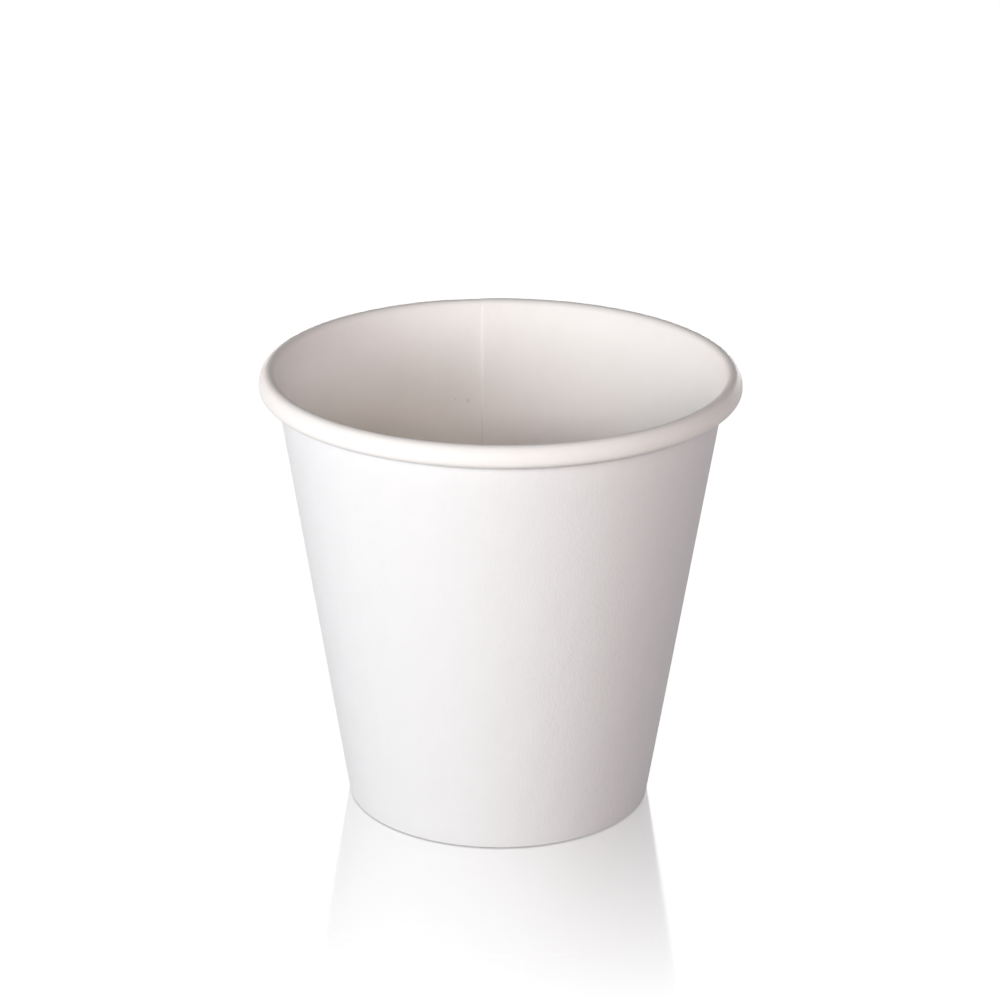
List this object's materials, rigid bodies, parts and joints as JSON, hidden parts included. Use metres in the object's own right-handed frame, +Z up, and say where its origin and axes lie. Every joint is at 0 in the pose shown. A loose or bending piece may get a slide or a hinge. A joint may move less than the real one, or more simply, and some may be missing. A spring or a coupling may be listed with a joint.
{
  "type": "paper coffee cup",
  "caption": "Plain white single-wall paper cup with a rolled rim, a lapped side seam and a recessed bottom held in a folded foot; holds a hot or cold drink.",
  "frame": {"origin": "middle of the foot, on the table that the cup stands on", "axes": "+Z up along the cup's axis; the side seam is at the back, at +Y; the picture looks along +Y"},
  "size_m": [0.09, 0.09, 0.085],
  "materials": {
    "wall_board": "uncoated matt white cup board outside, thin satin coating inside",
    "bottom_board": "matt white cup board, satin coating on the side that faces the drink"
  },
  "bodies": {
    "root": {"sidewall": "wall_board", "bottom": "bottom_board"}
  },
  "joints": []
}
